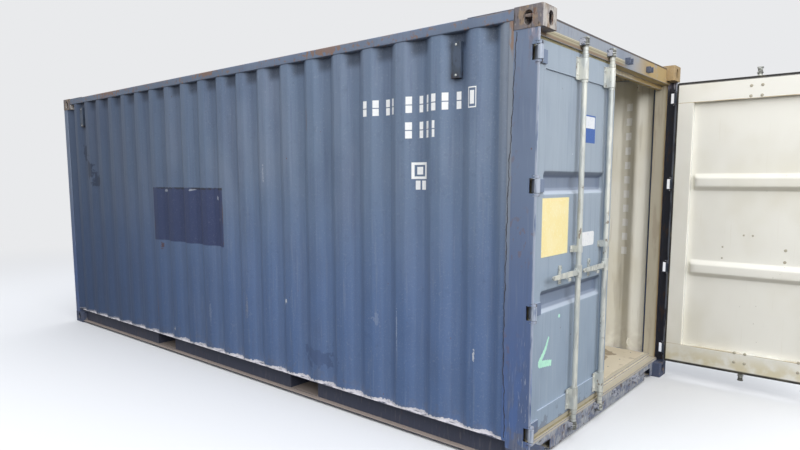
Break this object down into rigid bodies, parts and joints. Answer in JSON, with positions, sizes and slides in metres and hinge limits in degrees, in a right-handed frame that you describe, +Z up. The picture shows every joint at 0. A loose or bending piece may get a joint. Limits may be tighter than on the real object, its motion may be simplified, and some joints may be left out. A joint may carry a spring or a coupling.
{
  "type": "shipping container",
  "caption": "Dry freight container with corrugated walls and roof, corner castings, fork pockets and double end doors with locking rods.",
  "frame": {"origin": "bottom centre of the box, on the plane of the lower castings' undersides", "axes": "+X along the length towards the doors, +Z up, -Y towards the side wall the picture shows"},
  "size_m": [7.231, 2.438, 2.591],
  "materials": {
    "blue_paint": "faded matt",
    "cream_paint": "faded matt",
    "casting_rust": "rusted",
    "zinc_gear": "dull galvanised",
    "gasket_rubber": "matt",
    "plywood": "dusty",
    "vent_plastic": "matt"
  },
  "bodies": {
    "container": {"lower_corner_castings": "casting_rust", "upper_corner_castings": "casting_rust", "front_corner_posts": "blue_paint", "door_corner_posts": "blue_paint", "hinge_lugs": "blue_paint", "top_side_rails": "blue_paint", "bottom_side_rails": "blue_paint", "front_top_rail": "blue_paint", "front_bottom_rail": "blue_paint", "door_header": "blue_paint", "door_sill": "blue_paint", "header_keepers": "blue_paint", "sill_keepers": "blue_paint", "left_side_wall": "blue_paint", "right_side_wall": "blue_paint", "front_wall": "blue_paint", "roof_panel": "blue_paint", "floor_boards": "plywood", "cross_members": "blue_paint", "fork_pockets": "blue_paint", "vent_covers": "vent_plastic", "lashing_rings": "cream_paint", "roof_corner_plates": "blue_paint", "roof_header_plates": "blue_paint"},
    "left_door": {"left_door_frame": "cream_paint", "left_door_panel": "cream_paint", "left_door_gasket": "gasket_rubber", "left_hinge_blades": "blue_paint", "left_rod_guides": "zinc_gear", "left_handle_catches": "zinc_gear"},
    "left_outer_rod_body": {"left_outer_rod": "zinc_gear"},
    "left_outer_handle_body": {"left_outer_handle": "zinc_gear"},
    "left_inner_rod_body": {"left_inner_rod": "zinc_gear"},
    "left_inner_handle_body": {"left_inner_handle": "zinc_gear"},
    "right_door": {"right_door_frame": "cream_paint", "right_door_panel": "cream_paint", "right_door_gasket": "gasket_rubber", "right_hinge_blades": "blue_paint", "right_rod_guides": "zinc_gear", "right_handle_catches": "zinc_gear"},
    "right_outer_rod_body": {"right_outer_rod": "zinc_gear"},
    "right_outer_handle_body": {"right_outer_handle": "zinc_gear"},
    "right_inner_rod_body": {"right_inner_rod": "zinc_gear"},
    "right_inner_handle_body": {"right_inner_handle": "zinc_gear"}
  },
  "joints": [
    {"name": "left_door_hinge", "type": "hinge", "parent": "container", "child": "left_door", "pos_m": [3.008, -1.199, 0], "axis": [0, 0, -1], "range_deg": [0, 260]},
    {"name": "right_door_hinge", "type": "hinge", "parent": "container", "child": "right_door", "pos_m": [3.008, 1.199, 0], "axis": [0, 0, 1], "range_deg": [-90, 170]},
    {"name": "left_outer_rod_turn", "type": "hinge", "parent": "left_door", "child": "left_outer_rod_body", "pos_m": [2.993, -0.595, 0], "axis": [0, 0, -1], "range_deg": [-90, 0]},
    {"name": "left_outer_handle_lift", "type": "hinge", "parent": "left_outer_rod_body", "child": "left_outer_handle_body", "pos_m": [3.009, -0.639, 1.102], "axis": [-1, 0, 0], "range_deg": [0, 25]},
    {"name": "left_inner_rod_turn", "type": "hinge", "parent": "left_door", "child": "left_inner_rod_body", "pos_m": [2.993, -0.165, 0], "axis": [0, 0, -1], "range_deg": [-90, 0]},
    {"name": "left_inner_handle_lift", "type": "hinge", "parent": "left_inner_rod_body", "child": "left_inner_handle_body", "pos_m": [3.009, -0.209, 1.102], "axis": [-1, 0, 0], "range_deg": [0, 25]},
    {"name": "right_outer_rod_turn", "type": "hinge", "parent": "right_door", "child": "right_outer_rod_body", "pos_m": [3.612, 1.184, 0], "axis": [0, 0, 1], "range_deg": [-90, 0]},
    {"name": "right_outer_handle_lift", "type": "hinge", "parent": "right_outer_rod_body", "child": "right_outer_handle_body", "pos_m": [3.568, 1.2, 1.102], "axis": [0, 1, 0], "range_deg": [0, 25]},
    {"name": "right_inner_rod_turn", "type": "hinge", "parent": "right_door", "child": "right_inner_rod_body", "pos_m": [4.042, 1.184, 0], "axis": [0, 0, 1], "range_deg": [-90, 0]},
    {"name": "right_inner_handle_lift", "type": "hinge", "parent": "right_inner_rod_body", "child": "right_inner_handle_body", "pos_m": [3.998, 1.2, 1.102], "axis": [0, 1, 0], "range_deg": [0, 25]}
  ]
}
